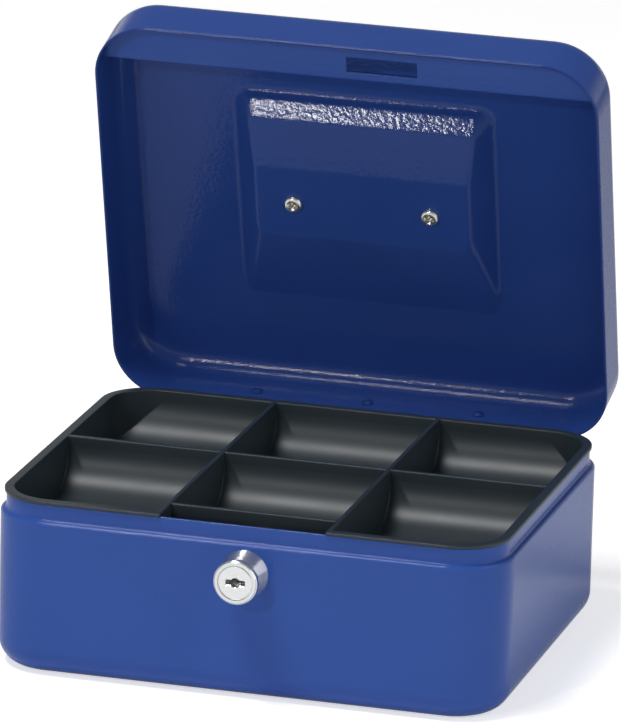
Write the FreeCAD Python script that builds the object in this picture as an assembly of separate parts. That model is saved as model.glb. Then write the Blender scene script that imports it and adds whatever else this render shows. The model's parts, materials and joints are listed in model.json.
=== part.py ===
import FreeCAD, Part
import math
import os

from FreeCAD import Vector

os.makedirs("parts", exist_ok=True)

# Box as a whole, millimetres, origin at the middle of the base
WIDTH = 200.0
DEPTH = 165.0
HEIGHT = 88.0
SHEET = 0.8
CORNER_R = 22.0
BASE_R = 10.0
LID_R = 8.5
LID_H = 27.0

# Shoulder and neck of the lower half
LEDGE_Z = HEIGHT - LID_H
NECK_IN = 2.1
NECK_H = 6.5
NECK_ROOT = 5.0
LEDGE_OUT_R = 1.2
LEDGE_IN_R = 0.7
NECK_TOP = LEDGE_Z + NECK_H

# Lid, drawn closed and then turned to its rest angle
LID_GAP = 0.4
LID_OPEN = 75.0
RIM_Z = LEDGE_Z + LID_GAP

# Pressed handle dish in the lid
DISH_DEPTH = 10.0
DISH_FRONT = ((-46.0, 0.0), (-44.0, 2.8), (-37.5, 7.3), (-17.0, DISH_DEPTH))
DISH_PROFILE = DISH_FRONT + ((12.0, DISH_DEPTH), (44.0, 0.0))
DISH_HALF = 51.5
DISH_DRAFT = 0.9
DISH_CORNER_R = 8.0
DISH_EDGE_R = 2.0
DISH_BLEND_R = 3.0

# Strike strip inside the lid's front skirt
STRIP_REACH = 18.0
STRIP_LEG_GAP = 0.3
STRIP_LEG_W = 150.0
STRIP_CLEAR = 0.5
SLOT_X = 13.0
SLOT_L = 28.0
SLOT_W = 6.2

# Rear hinge
KNUCKLE_R = 2.2
PIN_R = 1.25
PIN_RUN = 0.05
HINGE_GAP = 0.3
HINGE_L = 120.0
KNUCKLES = 5
LEAF_H = 16.0
LEAF_CLEAR = 0.6
HINGE_Y = DEPTH / 2 + KNUCKLE_R + HINGE_GAP
HINGE_Z = LEDGE_Z + LID_GAP / 2
RIVET_X = (-45.0, 0.0, 45.0)
RIVET_R = 1.3
RIVET_HEAD_R = 2.2
RIVET_HEAD_H = 0.9
RIVET_FLAT_H = 0.5

# Coin tray
TRAY_WALL = 1.6
TRAY_GAP = 0.5
TRAY_RIM_OUT = 0.7
TRAY_RIM_H = 1.2
TRAY_DEPTH = 20.0
TRAY_SCOOP_R = 16.0
TRAY_CROSS_Y = 6.0
TRAY_DIV_X = 33.0
TRAY_NOTCH = 13.0
TRAY_TOP = NECK_TOP + TRAY_RIM_H

# Cylinder lock, axis along Y
LOCK_DROP = 11.5
LOCK_Z = LEDGE_Z - LOCK_DROP
LOCK_X = 1.5
LOCK_R = 8.5
LOCK_OUT = 12.0
LOCK_RIM = 2.4
LOCK_NECK_R = 6.9
LOCK_BASE_R = 9.4
SHANK_R = 7.0
SHANK_L = 10.0
PLUG_R = 5.5
PLUG_RUN = 0.05
FACE_R = 6.8
FACE_H = 1.8
WAFER_OUT = 0.6
WAFER_CLEAR = 0.35
WAFER_T = 1.0
WAFER_H = 3.8
WAFER_FIT = 0.05
WAFER_Y = (4.5, 7.0, 9.5)
KEY_W = 8.0
KEY_H = 1.8
KEY_DEEP = 16.0
WASHER_R = 9.5
WASHER_T = 0.6
NUT_AF = 18.0
NUT_T = 3.4
CAM_T = 1.6
CAM_GAP = 0.8
CAM_HUB_R = 6.5
CAM_IN_R = 23.5
CAM_OUT_R = 27.5
CAM_FROM = -60.0
CAM_TO = 22.0
CAM_ARM_W = 6.0
SQUARE = 6.0
CAM_WASHER_R = 4.6
CAM_WASHER_T = 0.8
CAM_SCREW_R = 1.5
CAM_SCREW_L = 6.0
CAM_HEAD_R = 3.2
CAM_HEAD_H = 1.6

# Folding handle
BRACKET_X = 27.5
BRACKET_Y = -2.5
BRACKET_W = 9.0
BRACKET_H = 8.4
BAIL_R = 2.0
BAIL_RUN = 0.05
BAIL_Z = 6.0
BAIL_HALF = 36.0
BAIL_ARM = 24.0
BAIL_BEND = 3.5
SCREW_R = 2.0
SCREW_L = 4.2
SCREW_HEAD_R = 3.6
SCREW_HEAD_H = 2.3
CROSS_L = 4.2
CROSS_W = 0.9
CROSS_D = 1.2

FRONT = -DEPTH / 2
LOCK_FACE = FRONT - LOCK_OUT
LOCK_END = FRONT + SHANK_L
CAM_Y = LOCK_END + CAM_GAP
DISH_Z = HEIGHT - DISH_DEPTH
STRIP_Z = TRAY_TOP + STRIP_CLEAR
STRIP_LEG = HEIGHT - LID_R - STRIP_LEG_GAP - STRIP_Z
SLOT_Y = CAM_Y + CAM_T / 2


def box(x0, x1, y0, y1, z0, z1):
    return Part.makeBox(x1 - x0, y1 - y0, z1 - z0, Vector(x0, y0, z0))


def rounded_wire(x0, x1, y0, y1, r, z):
    lines = [
        ((x0 + r, y0), (x1 - r, y0)),
        ((x1, y0 + r), (x1, y1 - r)),
        ((x1 - r, y1), (x0 + r, y1)),
        ((x0, y1 - r), (x0, y0 + r)),
    ]
    centres = [(x1 - r, y0 + r, -45), (x1 - r, y1 - r, 45), (x0 + r, y1 - r, 135), (x0 + r, y0 + r, 225)]
    edges = []
    for i in range(4):
        a, b = lines[i]
        c = lines[(i + 1) % 4][0]
        cx, cy, ang = centres[i]
        mid = Vector(cx + r * math.cos(math.radians(ang)), cy + r * math.sin(math.radians(ang)), z)
        edges.append(Part.makeLine(Vector(a[0], a[1], z), Vector(b[0], b[1], z)))
        edges.append(Part.Arc(Vector(b[0], b[1], z), mid, Vector(c[0], c[1], z)).toShape())
    return Part.Wire(edges)


def prism(inset, z0, z1):
    x = WIDTH / 2 - inset
    y = DEPTH / 2 - inset
    wire = rounded_wire(-x, x, -y, y, CORNER_R - inset, z0)
    return Part.Face(wire).extrude(Vector(0, 0, z1 - z0))


def edges_at(shape, z):
    return [e for e in shape.Edges if abs(e.BoundBox.ZMin - z) < 1e-4 and abs(e.BoundBox.ZMax - z) < 1e-4]


def rod_y(r, y0, y1, x=0.0, z=LOCK_Z):
    return Part.makeCylinder(r, y1 - y0, Vector(x, y0, z), Vector(0, 1, 0))


def rod_x(r, x0, x1, y, z):
    return Part.makeCylinder(r, x1 - x0, Vector(x0, y, z), Vector(1, 0, 0))


def lid_turn(shape):
    turned = shape.copy()
    turned.rotate(Vector(0, HINGE_Y, HINGE_Z), Vector(1, 0, 0), -LID_OPEN)
    return turned


def lock_place(shape):
    moved = shape.copy()
    moved.translate(Vector(LOCK_X, 0, 0))
    return moved


def save(name, shape):
    shape.exportStep(f"parts/{name}.step")


# Lower half
def body_shell():
    tub = prism(0, 0, LEDGE_Z)
    tub = tub.makeFillet(BASE_R, edges_at(tub, 0))
    tub = tub.makeFillet(LEDGE_OUT_R, edges_at(tub, LEDGE_Z))
    neck = prism(NECK_IN, LEDGE_Z - NECK_ROOT, NECK_TOP)
    outer = tub.fuse(neck).removeSplitter()
    outer = outer.makeFillet(LEDGE_IN_R, [e for e in edges_at(outer, LEDGE_Z) if touches_neck(e)])
    room = prism(SHEET, SHEET, LEDGE_Z - SHEET)
    room = room.makeFillet(BASE_R - SHEET, edges_at(room, SHEET))
    mouth = prism(NECK_IN + SHEET, LEDGE_Z - NECK_ROOT, NECK_TOP + 1)
    shell = outer.cut(room).cut(mouth)
    shell = shell.cut(rod_y(SHANK_R, FRONT - 1, FRONT + 2, LOCK_X))
    for x in RIVET_X:
        shell = shell.cut(rod_y(RIVET_R, DEPTH / 2 - 2, DEPTH / 2 + 1, x, leaf_mid(-1)))
    return shell


def touches_neck(edge):
    p = edge.valueAt(edge.FirstParameter)
    x = WIDTH / 2 - NECK_IN
    y = DEPTH / 2 - NECK_IN
    r = CORNER_R - NECK_IN
    dx = max(abs(p.x) - (x - r), 0)
    dy = max(abs(p.y) - (y - r), 0)
    return abs(math.hypot(dx, dy) - r) < 0.01


# Lid shell with its pressed dish
def dish(grow, drop):
    z = HEIGHT - drop
    points = []
    for y, depth in DISH_PROFILE:
        out = grow if depth == 0 else grow / 2
        points.append(Vector(-WIDTH / 2, y + math.copysign(out, y), z - depth))
    solid = Part.Face(Part.makePolygon(points + points[:1])).extrude(Vector(WIDTH, 0, 0))
    top = DISH_HALF + grow
    low = top - DISH_DRAFT * DISH_DEPTH
    points = [Vector(x, -DEPTH / 2, h) for x, h in ((-top, z), (-low, z - DISH_DEPTH), (low, z - DISH_DEPTH), (top, z))]
    solid = solid.common(Part.Face(Part.makePolygon(points + points[:1])).extrude(Vector(0, DEPTH, 0)))
    ribs = [e for e in solid.Edges if e.BoundBox.ZLength > 0.3 and e.BoundBox.ZMax > z - 0.1]
    solid = solid.makeFillet(DISH_CORNER_R, ribs)
    lower = [e for e in solid.Edges if e.BoundBox.ZMax < z - 0.5]
    return solid.makeFillet(DISH_EDGE_R + drop / 2, lower)


def dish_edges(shape, z):
    reach = DISH_HALF + SHEET
    return [e for e in edges_at(shape, z) if max(abs(e.CenterOfMass.x), abs(e.CenterOfMass.y)) < reach]


def lid_shell():
    outer = prism(0, RIM_Z, HEIGHT)
    outer = outer.makeFillet(LID_R, edges_at(outer, HEIGHT))
    hollow = prism(SHEET, RIM_Z - 1, HEIGHT - SHEET)
    hollow = hollow.makeFillet(LID_R - SHEET, edges_at(hollow, HEIGHT - SHEET))
    outer = outer.cut(dish(0, 0))
    outer = outer.makeFillet(DISH_BLEND_R + SHEET, dish_edges(outer, HEIGHT))
    hollow = hollow.cut(dish(SHEET / 2, SHEET))
    hollow = hollow.makeFillet(DISH_BLEND_R, dish_edges(hollow, HEIGHT - SHEET))
    shell = outer.cut(hollow).removeSplitter()
    for x in (-BRACKET_X, BRACKET_X):
        hole = Part.makeCylinder(SCREW_R, 4, Vector(x, BRACKET_Y, DISH_Z - 2))
        shell = shell.cut(hole)
    for x in RIVET_X:
        shell = shell.cut(rod_y(RIVET_R, DEPTH / 2 - 2, DEPTH / 2 + 1, x, leaf_mid(1)))
    return shell


def lock_strip():
    band = box(-WIDTH, WIDTH, FRONT, FRONT + STRIP_REACH, STRIP_Z, STRIP_Z + SHEET)
    shelf = prism(SHEET, STRIP_Z, STRIP_Z + SHEET).common(band)
    x = STRIP_LEG_W / 2
    leg = box(-x, x, FRONT + SHEET, FRONT + 2 * SHEET, STRIP_Z, STRIP_Z + STRIP_LEG)
    x0 = SLOT_X - SLOT_L / 2
    y0 = SLOT_Y - SLOT_W / 2
    slot = box(x0, x0 + SLOT_L, y0, y0 + SLOT_W, STRIP_Z - 1, STRIP_Z + 2)
    return shelf.fuse(leg).cut(slot).removeSplitter()


# Rear hinge, leaf side -1 on the lower half and 1 on the lid
def leaf_mid(side):
    return HINGE_Z + side * (KNUCKLE_R + LEAF_CLEAR + LEAF_H / 2)


def hinge_leaf(side, bore):
    near = HINGE_Z + side * (KNUCKLE_R + LEAF_CLEAR)
    far = near + side * LEAF_H
    y0 = DEPTH / 2
    half = HINGE_L / 2
    leaf = box(-half, half, y0, y0 + SHEET, min(near, far), max(near, far))
    step = HINGE_L / KNUCKLES
    for i in range(0 if side < 0 else 1, KNUCKLES, 2):
        x0 = -half + i * step + (HINGE_GAP / 2 if i else 0)
        x1 = -half + (i + 1) * step - (HINGE_GAP / 2 if i < KNUCKLES - 1 else 0)
        tongue = box(x0, x1, y0, y0 + SHEET, min(HINGE_Z, near), max(HINGE_Z, near))
        leaf = leaf.fuse(tongue).fuse(rod_x(KNUCKLE_R, x0, x1, HINGE_Y, HINGE_Z))
    leaf = leaf.cut(rod_x(bore, -half - 1, half + 1, HINGE_Y, HINGE_Z))
    for x in RIVET_X:
        leaf = leaf.cut(rod_y(RIVET_R, y0 - 1, y0 + 2, x, leaf_mid(side)))
    return leaf.removeSplitter()


def hinge_pin():
    return rod_x(PIN_R, -HINGE_L / 2, HINGE_L / 2, HINGE_Y, HINGE_Z)


def rivets(side):
    group = []
    for x in RIVET_X:
        z = leaf_mid(side)
        inside = DEPTH / 2 - SHEET
        outside = DEPTH / 2 + SHEET
        shank = rod_y(RIVET_R, inside, outside, x, z)
        flat = rod_y(RIVET_HEAD_R, inside - RIVET_FLAT_H, inside, x, z)
        dome = rod_y(RIVET_HEAD_R, outside, outside + RIVET_HEAD_H, x, z)
        dome = dome.makeFillet(0.6, [dome.Edges[i] for i in rim_edges(dome, outside + RIVET_HEAD_H)])
        group.append(shank.fuse(flat).fuse(dome).removeSplitter())
    return Part.makeCompound(group)


def rim_edges(shape, y):
    found = []
    for i, e in enumerate(shape.Edges):
        if abs(e.BoundBox.YMin - y) < 1e-4 and abs(e.BoundBox.YMax - y) < 1e-4:
            found.append(i)
    return found


# Coin tray
def cell(x0, x1, y0, y1, grow):
    z0 = TRAY_TOP - TRAY_DEPTH - grow
    z1 = TRAY_TOP + (0 if grow else 1)
    r = TRAY_SCOOP_R + grow
    y0 -= grow
    y1 += grow
    k = r * math.sqrt(0.5)
    edges = [
        Part.makeLine(Vector(0, y1, z1), Vector(0, y0, z1)),
        Part.makeLine(Vector(0, y0, z1), Vector(0, y0, z0 + r)),
        Part.Arc(Vector(0, y0, z0 + r), Vector(0, y0 + r - k, z0 + r - k), Vector(0, y0 + r, z0)).toShape(),
        Part.makeLine(Vector(0, y0 + r, z0), Vector(0, y1 - r, z0)),
        Part.Arc(Vector(0, y1 - r, z0), Vector(0, y1 - r + k, z0 + r - k), Vector(0, y1, z0 + r)).toShape(),
        Part.makeLine(Vector(0, y1, z0 + r), Vector(0, y1, z1)),
    ]
    solid = Part.Face(Part.Wire(edges)).extrude(Vector(x1 - x0 + 2 * grow, 0, 0))
    solid.translate(Vector(x0 - grow, 0, 0))
    return solid


def coin_tray():
    skin = NECK_IN + SHEET + TRAY_GAP
    half = TRAY_WALL / 2
    x = WIDTH / 2 - skin - TRAY_WALL
    y = DEPTH / 2 - skin - TRAY_WALL
    front = FRONT + skin + TRAY_WALL
    cells = []
    for i, (x0, x1) in enumerate(((-x, -TRAY_DIV_X - half), (-TRAY_DIV_X + half, TRAY_DIV_X - half),
                                  (TRAY_DIV_X + half, x))):
        cells.append((x0, x1, TRAY_CROSS_Y + half, y))
        cells.append((x0, x1, front + (TRAY_NOTCH if i == 1 else 0), TRAY_CROSS_Y - half))
    tray = prism(NECK_IN - TRAY_RIM_OUT, NECK_TOP, TRAY_TOP)
    outside = prism(skin, NECK_TOP - TRAY_DEPTH - 5, TRAY_TOP)
    inside = prism(skin + TRAY_WALL, NECK_TOP - TRAY_DEPTH - 5, TRAY_TOP + 1)
    for c in cells:
        tray = tray.fuse(cell(*c, TRAY_WALL).common(outside))
    for c in cells:
        tray = tray.cut(cell(*c, 0).common(inside))
    gap = TRAY_DIV_X - half
    tray = tray.cut(box(-gap, gap, FRONT - 1, front + TRAY_NOTCH - TRAY_WALL, 0, HEIGHT))
    return tray.removeSplitter()


# Cylinder lock
def lock_housing():
    neck = LOCK_FACE + LOCK_RIM
    head = rod_y(LOCK_R, LOCK_FACE, neck)
    head = head.makeChamfer(0.5, [head.Edges[i] for i in rim_edges(head, LOCK_FACE)])
    flare = Part.makeCone(LOCK_NECK_R, LOCK_BASE_R, FRONT - neck, Vector(0, neck, LOCK_Z), Vector(0, 1, 0))
    body = head.fuse(flare).fuse(rod_y(SHANK_R, FRONT, LOCK_END))
    body = body.cut(rod_y(FACE_R + PLUG_RUN, LOCK_FACE - 1, LOCK_FACE + FACE_H))
    body = body.cut(rod_y(PLUG_R + PLUG_RUN, LOCK_FACE, LOCK_END + 1))
    groove = rod_y(PLUG_R + WAFER_OUT + WAFER_CLEAR, LOCK_FACE + WAFER_Y[0] - 1.5, LOCK_FACE + WAFER_Y[-1] + 1.5)
    return body.cut(groove).removeSplitter()


def lock_plug():
    plug = rod_y(FACE_R, LOCK_FACE, LOCK_FACE + FACE_H).fuse(rod_y(PLUG_R, LOCK_FACE + FACE_H, CAM_Y))
    s = SQUARE / 2
    plug = plug.fuse(box(-s, s, CAM_Y, CAM_Y + CAM_T, LOCK_Z - s, LOCK_Z + s))
    half = KEY_H / 2
    key = box(-KEY_W / 2, KEY_W / 2, LOCK_FACE - 1, LOCK_FACE + KEY_DEEP, LOCK_Z - half, LOCK_Z + half)
    plug = plug.cut(key).cut(rod_y(CAM_SCREW_R, CAM_Y + CAM_T - CAM_SCREW_L, CAM_Y + CAM_T + 1))
    slot = WAFER_T / 2 + WAFER_FIT
    high = WAFER_H / 2 + WAFER_FIT
    for y in WAFER_Y:
        mid = LOCK_FACE + y
        plug = plug.cut(box(-PLUG_R, PLUG_R, mid - slot, mid + slot, LOCK_Z - high, LOCK_Z + high))
    return plug.removeSplitter()


def lock_wafers():
    group = []
    for y in WAFER_Y:
        y0 = LOCK_FACE + y - WAFER_T / 2
        plate = box(-4.6, PLUG_R + WAFER_OUT, y0, y0 + WAFER_T, LOCK_Z - WAFER_H / 2, LOCK_Z + WAFER_H / 2)
        plate = plate.common(rod_y(PLUG_R + WAFER_OUT, y0, y0 + WAFER_T))
        window = box(-3.4, 4.4, y0 - 1, y0 + 2, LOCK_Z - KEY_H / 2, LOCK_Z + KEY_H / 2)
        group.append(plate.cut(window))
    return Part.makeCompound(group)


def lock_washer():
    y0 = FRONT + SHEET
    return rod_y(WASHER_R, y0, y0 + WASHER_T).cut(rod_y(SHANK_R, y0 - 1, y0 + 2))


def lock_nut():
    y0 = FRONT + SHEET + WASHER_T
    points = []
    for i in range(7):
        a = math.radians(60 * i)
        r = NUT_AF / math.sqrt(3)
        points.append(Vector(r * math.cos(a), y0, LOCK_Z + r * math.sin(a)))
    nut = Part.Face(Part.makePolygon(points)).extrude(Vector(0, NUT_T, 0))
    return nut.cut(rod_y(SHANK_R, y0 - 1, y0 + NUT_T + 1))


def lock_cam():
    ring = rod_y(CAM_OUT_R, CAM_Y, CAM_Y + CAM_T).cut(rod_y(CAM_IN_R, CAM_Y - 1, CAM_Y + CAM_T + 1))
    points = [Vector(0, CAM_Y - 1, LOCK_Z)]
    for a in (CAM_FROM, (CAM_FROM + CAM_TO) / 2, CAM_TO):
        t = math.radians(a)
        far = 2 * CAM_OUT_R
        points.append(Vector(far * math.cos(t), CAM_Y - 1, LOCK_Z + far * math.sin(t)))
    points.append(points[0])
    finger = ring.common(Part.Face(Part.makePolygon(points)).extrude(Vector(0, CAM_T + 2, 0)))
    reach = (CAM_IN_R + CAM_OUT_R) / 2
    arm = box(0, reach, CAM_Y, CAM_Y + CAM_T, LOCK_Z, LOCK_Z + CAM_ARM_W)
    arm.rotate(Vector(0, 0, LOCK_Z), Vector(0, -1, 0), CAM_FROM)
    cam = finger.fuse(arm).fuse(rod_y(CAM_HUB_R, CAM_Y, CAM_Y + CAM_T))
    s = SQUARE / 2
    return cam.cut(box(-s, s, CAM_Y - 1, CAM_Y + CAM_T + 1, LOCK_Z - s, LOCK_Z + s)).removeSplitter()


def cam_washer():
    y0 = CAM_Y + CAM_T
    return rod_y(CAM_WASHER_R, y0, y0 + CAM_WASHER_T).cut(rod_y(CAM_SCREW_R, y0 - 1, y0 + 2))


def cam_screw():
    seat = CAM_Y + CAM_T + CAM_WASHER_T
    head = rod_y(CAM_HEAD_R, seat, seat + CAM_HEAD_H)
    head = head.makeFillet(0.8, [head.Edges[i] for i in rim_edges(head, seat + CAM_HEAD_H)])
    shank = rod_y(CAM_SCREW_R, CAM_Y + CAM_T - CAM_SCREW_L, seat)
    slot = box(-CAM_HEAD_R, CAM_HEAD_R, seat + 0.8, seat + 3, LOCK_Z - 0.4, LOCK_Z + 0.4)
    return head.fuse(shank).cut(slot).removeSplitter()


# Folding handle
def handle_bracket(x):
    half = BRACKET_W / 2
    block = box(x - half, x + half, BRACKET_Y - half, BRACKET_Y + half, DISH_Z, DISH_Z + BRACKET_H)
    tops = [e for e in edges_at(block, DISH_Z + BRACKET_H) if e.BoundBox.YLength < 0.01]
    block = block.makeFillet(3.0, tops)
    block = block.cut(rod_x(BAIL_R + BAIL_RUN, x - half - 1, x + half + 1, BRACKET_Y, DISH_Z + BAIL_Z))
    return block.cut(Part.makeCylinder(SCREW_R, SCREW_L - SHEET, Vector(x, BRACKET_Y, DISH_Z)))


def handle_screws():
    group = []
    for x in (-BRACKET_X, BRACKET_X):
        seat = DISH_Z - SHEET
        head = Part.makeCylinder(SCREW_HEAD_R, SCREW_HEAD_H, Vector(x, BRACKET_Y, seat - SCREW_HEAD_H))
        head = head.makeFillet(1.3, edges_at(head, seat - SCREW_HEAD_H))
        shank = Part.makeCylinder(SCREW_R, SCREW_L, Vector(x, BRACKET_Y, seat))
        screw = head.fuse(shank)
        for a, b in ((CROSS_L, CROSS_W), (CROSS_W, CROSS_L)):
            z1 = seat - SCREW_HEAD_H + CROSS_D
            screw = screw.cut(box(x - a / 2, x + a / 2, BRACKET_Y - b / 2, BRACKET_Y + b / 2, z1 - 3, z1))
        group.append(screw.removeSplitter())
    return Part.makeCompound(group)


def handle_bail():
    z = DISH_Z + BAIL_Z
    r = BAIL_BEND
    k = r * (1 - math.sqrt(0.5))
    y0 = BRACKET_Y
    y1 = BRACKET_Y - BAIL_ARM
    tip = BRACKET_X - BRACKET_W / 2 + 0.5
    half = BAIL_HALF

    def at(x, y):
        return Vector(x, y, z)

    path = Part.Wire([
        Part.makeLine(at(tip, y0), at(half - r, y0)),
        Part.Arc(at(half - r, y0), at(half - k, y0 - k), at(half, y0 - r)).toShape(),
        Part.makeLine(at(half, y0 - r), at(half, y1 + r)),
        Part.Arc(at(half, y1 + r), at(half - k, y1 + k), at(half - r, y1)).toShape(),
        Part.makeLine(at(half - r, y1), at(r - half, y1)),
        Part.Arc(at(r - half, y1), at(k - half, y1 + k), at(-half, y1 + r)).toShape(),
        Part.makeLine(at(-half, y1 + r), at(-half, y0 - r)),
        Part.Arc(at(-half, y0 - r), at(k - half, y0 - k), at(r - half, y0)).toShape(),
        Part.makeLine(at(r - half, y0), at(-tip, y0)),
    ])
    ring = Part.Wire(Part.makeCircle(BAIL_R, at(tip, y0), Vector(1, 0, 0)))
    return path.makePipeShell([ring], True, False)


save("body_shell", body_shell())
save("body_hinge_leaf", hinge_leaf(-1, PIN_R))
save("hinge_pin", hinge_pin())
save("body_hinge_rivets", rivets(-1))
save("lock_housing", lock_place(lock_housing()))
save("lock_washer", lock_place(lock_washer()))
save("lock_nut", lock_place(lock_nut()))
save("lock_plug", lock_place(lock_plug()))
save("lock_wafers", lock_place(lock_wafers()))
save("lock_cam", lock_place(lock_cam()))
save("cam_washer", lock_place(cam_washer()))
save("cam_screw", lock_place(cam_screw()))
save("coin_tray", coin_tray())
save("lid_shell", lid_turn(lid_shell()))
save("lock_strip", lid_turn(lock_strip()))
save("lid_hinge_leaf", lid_turn(hinge_leaf(1, PIN_R + PIN_RUN)))
save("lid_hinge_rivets", lid_turn(rivets(1)))
save("handle_bracket_left", lid_turn(handle_bracket(-BRACKET_X)))
save("handle_bracket_right", lid_turn(handle_bracket(BRACKET_X)))
save("handle_screws", lid_turn(handle_screws()))
save("handle_bail", lid_turn(handle_bail()))
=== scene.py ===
import bmesh
import bpy
import json
import math
from mathutils import Matrix, Vector


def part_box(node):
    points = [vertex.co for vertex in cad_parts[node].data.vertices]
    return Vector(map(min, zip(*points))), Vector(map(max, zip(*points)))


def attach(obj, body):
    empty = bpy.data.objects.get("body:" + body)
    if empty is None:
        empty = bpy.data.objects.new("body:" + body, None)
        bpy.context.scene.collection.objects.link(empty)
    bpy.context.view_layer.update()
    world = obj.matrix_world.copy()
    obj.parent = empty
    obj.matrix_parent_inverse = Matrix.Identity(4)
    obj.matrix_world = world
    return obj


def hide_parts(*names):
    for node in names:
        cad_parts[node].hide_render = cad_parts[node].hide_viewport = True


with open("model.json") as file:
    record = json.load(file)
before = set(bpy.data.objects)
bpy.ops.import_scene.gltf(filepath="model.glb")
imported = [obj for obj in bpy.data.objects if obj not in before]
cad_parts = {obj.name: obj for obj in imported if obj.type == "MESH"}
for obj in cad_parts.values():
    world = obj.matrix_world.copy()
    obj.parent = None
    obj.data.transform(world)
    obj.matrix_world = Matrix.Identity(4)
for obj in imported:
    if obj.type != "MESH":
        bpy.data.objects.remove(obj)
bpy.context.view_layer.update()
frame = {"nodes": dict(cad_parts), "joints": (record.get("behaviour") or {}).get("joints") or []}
nodes = frame["nodes"]


# Lower half: one deep-drawn sheet steel tub with a stepped-in neck for the lid.
# Sprayed all over in glossy blue enamel, which dries with a faint orange peel
# and picks up cloudy handling marks.
def node_group(name, inputs, outputs):
    group = bpy.data.node_groups.new(name, "ShaderNodeTree")
    for label, kind, value in inputs:
        socket = group.interface.new_socket(label, in_out="INPUT", socket_type=kind)
        socket.default_value = value
    for label, kind in outputs:
        group.interface.new_socket(label, in_out="OUTPUT", socket_type=kind)
    return group, group.nodes.new("NodeGroupInput"), group.nodes.new("NodeGroupOutput")


def add(tree, kind, **sockets):
    node = tree.nodes.new(kind)
    for key, value in sockets.items():
        node.inputs[key.replace("_", " ")].default_value = value
    return node


def orange_peel_group():
    group, given, out = node_group(
        "orange_peel",
        [("Vector", "NodeSocketVector", (0, 0, 0)), ("Cell Scale", "NodeSocketFloat", 620.0)],
        [("Height", "NodeSocketFloat")],
    )
    link = group.links.new
    peel = add(group, "ShaderNodeTexNoise", Detail=1.5, Roughness=0.45)
    link(given.outputs["Vector"], peel.inputs["Vector"])
    link(given.outputs["Cell Scale"], peel.inputs["Scale"])
    wave = add(group, "ShaderNodeTexNoise", Scale=95.0, Detail=1.0)
    link(given.outputs["Vector"], wave.inputs["Vector"])
    both = add(group, "ShaderNodeMath")
    both.operation = "MULTIPLY_ADD"
    both.inputs[1].default_value = 0.8
    link(wave.outputs["Fac"], both.inputs[0])
    link(peel.outputs["Fac"], both.inputs[2])
    link(both.outputs[0], out.inputs["Height"])
    return group


def handling_group():
    group, given, out = node_group(
        "handling_marks",
        [("Vector", "NodeSocketVector", (0, 0, 0)), ("Size", "NodeSocketFloat", 14.0)],
        [("Cloud", "NodeSocketFloat"), ("Scratch", "NodeSocketFloat")],
    )
    link = group.links.new
    cloud = add(group, "ShaderNodeTexNoise", Detail=4.0, Roughness=0.6, Distortion=0.6)
    link(given.outputs["Vector"], cloud.inputs["Vector"])
    link(given.outputs["Size"], cloud.inputs["Scale"])
    link(cloud.outputs["Fac"], out.inputs["Cloud"])
    turn = add(group, "ShaderNodeMapping")
    turn.inputs["Rotation"].default_value = (0.5, 0.3, 0.9)
    turn.inputs["Scale"].default_value = (40.0, 900.0, 40.0)
    link(given.outputs["Vector"], turn.inputs["Vector"])
    hair = add(group, "ShaderNodeTexNoise", Scale=1.0, Detail=2.0)
    link(turn.outputs["Vector"], hair.inputs["Vector"])
    thin = add(group, "ShaderNodeMapRange")
    thin.inputs["From Min"].default_value = 0.66
    thin.inputs["From Max"].default_value = 0.72
    link(hair.outputs["Fac"], thin.inputs["Value"])
    link(thin.outputs["Result"], out.inputs["Scratch"])
    return group


peel_group = orange_peel_group()
marks_group = handling_group()


def place_group(tree, group, coords):
    node = tree.nodes.new("ShaderNodeGroup")
    node.node_tree = group
    tree.links.new(coords.outputs["Object"], node.inputs["Vector"])
    return node


def finish_material(name):
    material = bpy.data.materials.new(name)
    material.use_nodes = True
    tree = material.node_tree
    return material, tree, tree.nodes["Principled BSDF"], tree.nodes.new("ShaderNodeTexCoord")


def blend_colour(tree, factor, low, high):
    mix = tree.nodes.new("ShaderNodeMix")
    mix.data_type = "RGBA"
    mix.inputs["A"].default_value = (*low, 1)
    mix.inputs["B"].default_value = (*high, 1)
    tree.links.new(factor, mix.inputs["Factor"])
    return mix.outputs["Result"]


def spread(tree, factor, low, high):
    node = tree.nodes.new("ShaderNodeMapRange")
    node.inputs["To Min"].default_value = low
    node.inputs["To Max"].default_value = high
    tree.links.new(factor, node.inputs["Value"])
    return node.outputs["Result"]


def raise_surface(tree, shader, height, strength, distance):
    bump = tree.nodes.new("ShaderNodeBump")
    bump.inputs["Strength"].default_value = strength
    bump.inputs["Distance"].default_value = distance
    tree.links.new(height, bump.inputs["Height"])
    tree.links.new(bump.outputs["Normal"], shader.inputs["Normal"])
    return bump


def round_edges(tree, bump, radius):
    bend = add(tree, "ShaderNodeBevel", Radius=radius)
    bend.samples = 6
    tree.links.new(bend.outputs["Normal"], bump.inputs["Normal"])


def blue_enamel(name, low, high, edge_radius):
    material, tree, shader, coords = finish_material(name)
    peel = place_group(tree, peel_group, coords)
    marks = place_group(tree, marks_group, coords)
    colour = blend_colour(tree, marks.outputs["Cloud"], low, high)
    tree.links.new(colour, shader.inputs["Base Color"])
    tree.links.new(spread(tree, marks.outputs["Cloud"], 0.09, 0.16), shader.inputs["Roughness"])
    shader.inputs["Specular IOR Level"].default_value = 0.21
    bump = raise_surface(tree, shader, peel.outputs["Height"], strength=0.42, distance=0.0002)
    round_edges(tree, bump, edge_radius)
    return material


def dress(node, material):
    mesh = nodes[node].data
    mesh.materials.clear()
    mesh.materials.append(material)


enamel = blue_enamel(
    "blue_enamel", low=(0.032, 0.090, 0.37), high=(0.040, 0.108, 0.44), edge_radius=0.001
)
dress("body_shell", enamel)


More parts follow.
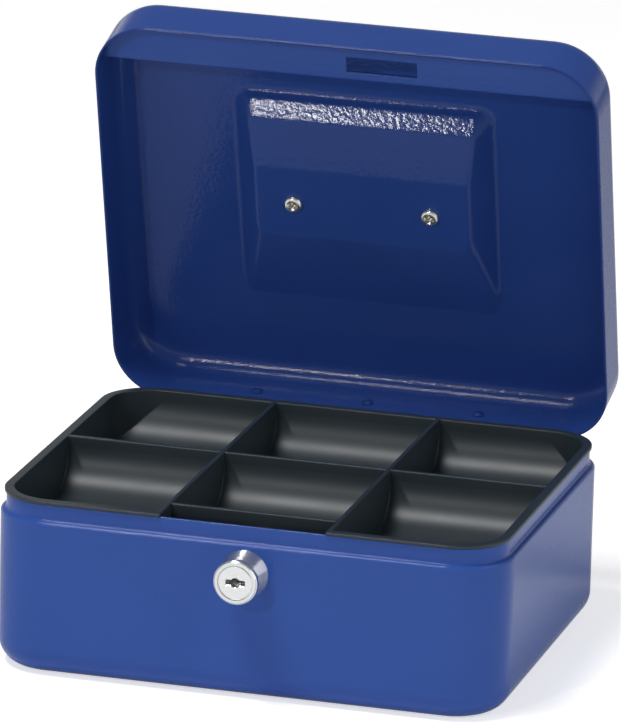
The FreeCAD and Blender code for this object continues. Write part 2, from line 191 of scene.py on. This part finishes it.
# Rear hinge: two folded steel leaves with rolled knuckles on a drawn zinc plated pin, riveted to
# the outside and each painted like its own half; the lid's leaf takes the lid's darker enamel,
# which is painted shade.
def bright_steel(name, low, high, rough):
    material, tree, shader, coords = finish_material(name)
    marks = place_group(tree, marks_group, coords)
    marks.inputs["Size"].default_value = 160.0
    colour = blend_colour(tree, marks.outputs["Cloud"], low, high)
    dull = spread(tree, marks.outputs["Cloud"], rough * 0.7, rough * 1.4)
    tree.links.new(colour, shader.inputs["Base Color"])
    tree.links.new(dull, shader.inputs["Roughness"])
    shader.inputs["Metallic"].default_value = 1.0
    raise_surface(tree, shader, marks.outputs["Scratch"], strength=0.15, distance=0.00005)
    return material


zinc = bright_steel("zinc_plate", (0.50, 0.49, 0.46), (0.68, 0.67, 0.63), rough=0.26)
# The lid's enamel is the body's blue made darker: painted shade for the lid, whose inside faces
# down and gets less light.
lid_enamel_painted_shade = blue_enamel(
    "lid_enamel_painted_shade", low=(0.023, 0.064, 0.28), high=(0.029, 0.078, 0.33), edge_radius=0.0022
)
dress("body_hinge_leaf", enamel)
dress("lid_hinge_leaf", lid_enamel_painted_shade)
dress("hinge_pin", zinc)


# Hinge rivets: three through each leaf, cold headed from steel wire, with a
# domed head outside and a low clenched head inside, painted over with the box.
lid_joint = next(joint for joint in frame["joints"] if joint["name"] == "lid_hinge")
hinge = Matrix.Translation(lid_joint["pos_m"])
closing = Matrix.Rotation(math.radians(lid_joint["range_deg"][0]), 4, lid_joint["axis"])
shut_lid = hinge @ closing @ hinge.inverted()
open_lid = shut_lid.inverted()


def shut_box(node):
    corners = [shut_lid @ v.co for v in nodes[node].data.vertices]
    low = Vector([min(c[i] for c in corners) for i in range(3)])
    high = Vector([max(c[i] for c in corners) for i in range(3)])
    return low, high


def ringed(name, rings, steps):
    built = bmesh.new()
    loops = []
    for radius, height in rings:
        loop = []
        for i in range(steps):
            angle = 2 * math.pi * i / steps
            r = radius(angle) if callable(radius) else radius
            loop.append(built.verts.new((r * math.cos(angle), r * math.sin(angle), height)))
        loops.append(loop)
    for below, above in zip(loops, loops[1:]):
        for i in range(steps):
            j = (i + 1) % steps
            built.faces.new((below[i], below[j], above[j], above[i]))
    for loop, height in ((loops[0], rings[0][1]), (loops[-1], rings[-1][1])):
        middle = built.verts.new((0, 0, height))
        for i in range(steps):
            built.faces.new((loop[i], loop[(i + 1) % steps], middle))
    bmesh.ops.recalc_face_normals(built, faces=built.faces)
    mesh = bpy.data.meshes.new(name)
    built.to_mesh(mesh)
    built.free()
    mesh.shade_smooth()
    mesh.set_sharp_from_angle(angle=math.radians(35))
    return mesh


def fastener_row_tree():
    tree = bpy.data.node_groups.new("fastener_row", "GeometryNodeTree")
    tree.interface.new_socket("Geometry", in_out="OUTPUT", socket_type="NodeSocketGeometry")
    keys = {}
    for label, kind in (
        ("Fastener", "NodeSocketObject"),
        ("Count", "NodeSocketInt"),
        ("Start", "NodeSocketVector"),
        ("Pitch", "NodeSocketVector"),
        ("Finish", "NodeSocketMaterial"),
    ):
        keys[label] = tree.interface.new_socket(label, in_out="INPUT", socket_type=kind).identifier
    given = tree.nodes.new("NodeGroupInput")
    line = tree.nodes.new("GeometryNodeMeshLine")
    pattern = tree.nodes.new("GeometryNodeObjectInfo")
    place = tree.nodes.new("GeometryNodeInstanceOnPoints")
    real = tree.nodes.new("GeometryNodeRealizeInstances")
    finish = tree.nodes.new("GeometryNodeSetMaterial")
    out = tree.nodes.new("NodeGroupOutput")
    for start, end in (
        (given.outputs["Count"], line.inputs["Count"]),
        (given.outputs["Start"], line.inputs["Start Location"]),
        (given.outputs["Pitch"], line.inputs["Offset"]),
        (given.outputs["Fastener"], pattern.inputs["Object"]),
        (line.outputs["Mesh"], place.inputs["Points"]),
        (pattern.outputs["Geometry"], place.inputs["Instance"]),
        (place.outputs["Instances"], real.inputs["Geometry"]),
        (real.outputs["Geometry"], finish.inputs["Geometry"]),
        (given.outputs["Finish"], finish.inputs["Material"]),
        (finish.outputs["Geometry"], out.inputs["Geometry"]),
    ):
        tree.links.new(start, end)
    return tree, keys


row_tree, row_keys = fastener_row_tree()


def fastener_row(name, mesh, count, start, pitch, material):
    pattern = bpy.data.objects.new(name + "_pattern", mesh)
    holder = bpy.data.objects.new(name, bpy.data.meshes.new(name + "_holder"))
    for thing in (pattern, holder):
        bpy.context.scene.collection.objects.link(thing)
    row = holder.modifiers.new("row", "NODES")
    row.node_group = row_tree
    for label, value in (
        ("Fastener", pattern),
        ("Count", count),
        ("Start", start),
        ("Pitch", pitch),
        ("Finish", material),
    ):
        row[row_keys[label]] = value
    graph = bpy.context.evaluated_depsgraph_get()
    made = bpy.data.meshes.new_from_object(holder.evaluated_get(graph), depsgraph=graph)
    holder.modifiers.remove(row)
    holder.data = made
    bpy.data.objects.remove(pattern)
    return holder


def arc_rings(radius, edge, start, height, count):
    rings = []
    for i in range(count):
        turn = math.pi / 2 * i / count
        rings.append((edge + (radius - edge) * math.cos(turn), start + height * math.sin(turn)))
    return rings


rivets_per_leaf = 3
dome_height = 0.0009
dome_crown = dome_height * 0.75
dome_tip_radius = 0.0002
clench_height = 0.0005
facing_back = Matrix.Rotation(-math.pi / 2, 4, "X")


def rivet_row(name, low, high, material):
    head = (high.z - low.z) / 2
    shank = head * 0.6
    length = high.y - low.y
    seat = length - dome_height
    rings = [(head * 0.86, 0), (head, clench_height * 0.4), (head, clench_height)]
    rings += [(shank, clench_height), (shank, seat), (head, seat)]
    rings += arc_rings(head, dome_tip_radius, start=length - dome_crown, height=dome_crown, count=6)
    rings += [(dome_tip_radius, length)]
    mesh = ringed(name, rings, steps=32)
    mesh.transform(facing_back)
    pitch = (high.x - low.x - 2 * head) / (rivets_per_leaf - 1)
    start = (low.x + head, low.y, (low.z + high.z) / 2)
    return fastener_row(name, mesh, rivets_per_leaf, start, (pitch, 0, 0), material)


body_rivets = rivet_row("body_rivets", *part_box("body_hinge_rivets"), enamel)
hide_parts("body_hinge_rivets")
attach(body_rivets, "body")
# The lid's rivets take the lid's darker enamel, which is painted shade.
lid_rivets = rivet_row("lid_rivets", *shut_box("lid_hinge_rivets"), lid_enamel_painted_shade)
lid_rivets.data.transform(open_lid)
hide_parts("lid_hinge_rivets")
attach(lid_rivets, "lid")


# Cylinder lock: turned and chrome plated housing, a satin plug with the keyway
# in its face and stamped wafers in it, and behind the wall a zinc plated washer,
# nut and hook cam held by a screw.
def turned_chrome():
    material, tree, shader, coords = finish_material("turned_chrome")
    marks = place_group(tree, marks_group, coords)
    marks.inputs["Size"].default_value = 160.0
    shade = blend_colour(tree, marks.outputs["Cloud"], (0.80, 0.81, 0.82), (0.92, 0.92, 0.92))
    tree.links.new(shade, shader.inputs["Base Color"])
    tree.links.new(spread(tree, marks.outputs["Cloud"], 0.16, 0.26), shader.inputs["Roughness"])
    shader.inputs["Metallic"].default_value = 1.0
    tool_marks = add(tree, "ShaderNodeTexWave", Scale=700.0, Distortion=0.4)
    tool_marks.bands_direction = "Y"
    tree.links.new(coords.outputs["Object"], tool_marks.inputs["Vector"])
    raise_surface(tree, shader, tool_marks.outputs["Fac"], strength=0.6, distance=0.00012)
    return material


satin = bright_steel("satin_nickel", (0.88, 0.90, 0.90), (0.95, 0.96, 0.95), rough=0.26)
nickel_silver = bright_steel("nickel_silver", (0.30, 0.29, 0.27), (0.42, 0.41, 0.38), rough=0.30)
dress("lock_housing", turned_chrome())
for node in ("lock_washer", "lock_nut", "lock_cam", "cam_washer", "cam_screw"):
    dress(node, zinc)
dress("lock_wafers", nickel_silver)


def keyway(grow):
    half_width, half_height, post = 0.0037 + grow, 0.0010 + grow, 0.0018 + grow

    def reach(angle):
        across = half_width / max(abs(math.cos(angle)), 1e-6)
        upright = half_height / max(abs(math.sin(angle)), 1e-6)
        return max(min(across, upright), post)

    return reach


face_low, face_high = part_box("lock_plug")
face_radius = (face_high.x - face_low.x) / 2
face_chamfer = 0.00035
face_thickness = 0.0018
stem_radius = face_radius * 0.81
cam_seat = 0.0016
stem_end = face_high.y - face_low.y - cam_seat
keyway_depth = 0.0105
keyway_chamfer = 0.0002
plug_rings = [
    (keyway(0), keyway_depth),
    (keyway(0), keyway_chamfer),
    (keyway(keyway_chamfer), 0),
    (face_radius * 0.93, 0),
    (face_radius, face_chamfer),
    (face_radius, face_thickness),
    (stem_radius, face_thickness),
    (stem_radius, stem_end),
]
face_centre = ((face_low.x + face_high.x) / 2, face_low.y, (face_low.z + face_high.z) / 2)
plug = bpy.data.objects.new("plug_face", ringed("plug_face", plug_rings, steps=256))
plug.data.transform(Matrix.Translation(face_centre) @ facing_back)
plug.data.materials.append(satin)
bpy.context.scene.collection.objects.link(plug)
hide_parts("lock_plug")
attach(plug, "plug")


# Coin tray: one black injection moulding that hangs in the neck by its rim,
# with scooped cells and a fine spark-eroded grain.
def black_moulding():
    material, tree, shader, coords = finish_material("black_moulding")
    marks = place_group(tree, marks_group, coords)
    marks.inputs["Size"].default_value = 26.0
    shade = blend_colour(tree, marks.outputs["Cloud"], (0.020, 0.031, 0.038), (0.028, 0.041, 0.050))
    tree.links.new(shade, shader.inputs["Base Color"])
    tree.links.new(spread(tree, marks.outputs["Cloud"], 0.36, 0.48), shader.inputs["Roughness"])
    grain = add(tree, "ShaderNodeTexNoise", Scale=2600.0, Detail=2.0)
    tree.links.new(coords.outputs["Object"], grain.inputs["Vector"])
    bump = raise_surface(tree, shader, grain.outputs["Fac"], strength=0.10, distance=0.0001)
    round_edges(tree, bump, radius=0.0009)
    return material


dress("coin_tray", black_moulding())


# Lid: a shallow drawn pan in a darker copy of the body's enamel, painted shade that stands in for
# the dimmer light on the lid, with the handle dish pressed into it and the strike strip welded
# inside its front skirt.
dress("lid_shell", lid_enamel_painted_shade)
dress("lock_strip", enamel)


# Handle: a bent chromed rod that folds into the dish, turning in two plated
# brackets that are held from inside by cross-head screws.
chrome = bright_steel("chrome_plate", (0.80, 0.80, 0.80), (0.90, 0.90, 0.90), rough=0.08)
for node in ("handle_bail", "handle_bracket_left", "handle_bracket_right"):
    dress(node, chrome)


# Handle screws: two nickel plated pan heads seen inside the lid, each with a
# cross recess, cold headed and driven up through the dish into the brackets.
def cross_recess(length, width):
    def reach(angle):
        c, n = max(abs(math.cos(angle)), 1e-6), max(abs(math.sin(angle)), 1e-6)
        return max(min(length / c, width / n), min(width / c, length / n))

    return reach


screw_low, screw_high = shut_box("handle_screws")
screw_count = 2
head_radius = (screw_high.y - screw_low.y) / 2
head_height = 0.0023
crown_radius = 0.0021
crown_height = 0.0016
recess_depth = 0.0016
recess_floor = cross_recess(length=0.0010, width=0.0003)
recess_mouth = cross_recess(length=0.0020, width=0.00055)
mouth_chamfer = 0.0001
shank_radius = 0.0019
screw_rings = [(recess_floor, recess_depth), (recess_mouth, mouth_chamfer), (crown_radius, 0)]
crown = arc_rings(head_radius, crown_radius, start=0, height=crown_height, count=7)
screw_rings += [(radius, crown_height - rise) for radius, rise in reversed(crown)]
screw_rings += [(head_radius, head_height), (shank_radius, head_height)]
screw_rings += [(shank_radius, screw_high.z - screw_low.z)]
nickel = bright_steel("nickel_plate", (0.80, 0.79, 0.74), (0.94, 0.93, 0.88), rough=0.26)
screw_gap = screw_high.x - screw_low.x - 2 * head_radius
first_screw = (screw_low.x + head_radius, (screw_low.y + screw_high.y) / 2, screw_low.z)
screw = ringed("lid_screw", screw_rings, steps=96)
screws = fastener_row("lid_screws", screw, screw_count, first_screw, (screw_gap, 0, 0), nickel)
screws.data.transform(open_lid)
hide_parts("handle_screws")
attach(screws, "lid")


# Studio: a pale sheet of paper under soft boxes, seen by a long lens from
# above and to the right of the front.
mirror_share = 0.25


def seen_rays(tree):
    path = tree.nodes.new("ShaderNodeLightPath")
    mirror = tree.nodes.new("ShaderNodeMath")
    mirror.operation = "MAXIMUM"
    tree.links.new(path.outputs["Is Glossy Ray"], mirror.inputs[0])
    tree.links.new(path.outputs["Is Transmission Ray"], mirror.inputs[1])
    seen = tree.nodes.new("ShaderNodeMath")
    seen.operation = "MULTIPLY_ADD"
    seen.inputs[1].default_value = mirror_share
    tree.links.new(mirror.outputs[0], seen.inputs[0])
    tree.links.new(path.outputs["Is Camera Ray"], seen.inputs[2])
    return seen.outputs[0]


def white_sheet(name, grey, lift):
    material, tree, shader, coords = finish_material(name)
    shader.inputs["Roughness"].default_value = 0.9
    shader.inputs["Specular IOR Level"].default_value = 0.1
    fibre = add(tree, "ShaderNodeTexNoise", Scale=900.0, Detail=2.0)
    tree.links.new(coords.outputs["Object"], fibre.inputs["Vector"])
    colour = blend_colour(tree, fibre.outputs["Fac"], (grey * 0.985,) * 3, (grey,) * 3)
    tree.links.new(colour, shader.inputs["Base Color"])
    shader.inputs["Emission Color"].default_value = (1, 1, 1, 1)
    tree.links.new(spread(tree, seen_rays(tree), 0, lift), shader.inputs["Emission Strength"])
    return material


half_sheet = 6.0
corners = [(half_sheet * x, half_sheet * y, 0) for x, y in ((-1, -1), (1, -1), (1, 1), (-1, 1))]
sheet = bpy.data.meshes.new("paper_floor")
sheet.from_pydata(corners, [], [(0, 1, 2, 3)])
sheet.materials.append(white_sheet("white_paper", grey=0.92, lift=0.62))
floor = bpy.data.objects.new("paper_floor", sheet)
bpy.context.scene.collection.objects.link(floor)

horizon_glow = 0.86
overhead_glow = 0.08
world = bpy.data.worlds.new("studio")
bpy.context.scene.world = world
world.use_nodes = True
sky = world.node_tree
back = sky.nodes["Background"]
back.inputs["Color"].default_value = (1, 1, 1, 1)
direction = sky.nodes.new("ShaderNodeTexCoord")
height = sky.nodes.new("ShaderNodeSeparateXYZ")
fade = sky.nodes.new("ShaderNodeMapRange")
fade.interpolation_type = "SMOOTHSTEP"
fade.inputs["From Min"].default_value = 0.02
fade.inputs["From Max"].default_value = 0.40
fade.inputs["To Min"].default_value = horizon_glow
fade.inputs["To Max"].default_value = overhead_glow
sky.links.new(direction.outputs["Generated"], height.inputs["Vector"])
sky.links.new(height.outputs["Z"], fade.inputs["Value"])
glow = sky.nodes.new("ShaderNodeMath")
glow.operation = "MAXIMUM"
sky.links.new(fade.outputs["Result"], glow.inputs[0])
sky.links.new(seen_rays(sky), glow.inputs[1])
sky.links.new(glow.outputs[0], back.inputs["Strength"])


def soft_box(name, place, target, size, power):
    light = bpy.data.lights.new(name, "AREA")
    light.shape = "RECTANGLE"
    light.size, light.size_y = size
    light.energy = power
    lamp = bpy.data.objects.new(name, light)
    aim = (Vector(target) - Vector(place)).to_track_quat("-Z", "Y")
    lamp.matrix_world = Matrix.Translation(place) @ aim.to_matrix().to_4x4()
    bpy.context.scene.collection.objects.link(lamp)


box_middle = (0, 0, 0.08)
lid_dish = (0, 0.07, 0.195)
soft_box("overhead_box", (-0.45, -0.45, 1.72), box_middle, size=(0.60, 0.45), power=17.5)
soft_box("front_box", (-0.575, -1.71, 0.94), lid_dish, size=(0.10, 0.12), power=4.6)
soft_box("right_box", (1.5, -0.2, 0.7), box_middle, size=(0.9, 1.1), power=5)

camera = bpy.data.cameras.new("camera")
camera.lens = 413.29
camera.sensor_width = 36.0
camera.clip_end = 50.0
viewer = bpy.data.objects.new("camera", camera)
right = Vector((0.961882, 0.272225, 0.026015))
up = Vector((-0.099408, 0.259447, 0.960627))
look = Vector((-0.254757, 0.926596, -0.276619))
turn = Matrix((right, up, -look)).transposed().to_4x4()
standpoint = Vector((0.80586, -2.92252, 0.98258))
viewer.matrix_world = Matrix.Translation(standpoint) @ turn
bpy.context.scene.collection.objects.link(viewer)
bpy.context.scene.camera = viewer
bpy.context.scene.view_settings.view_transform = "Standard"
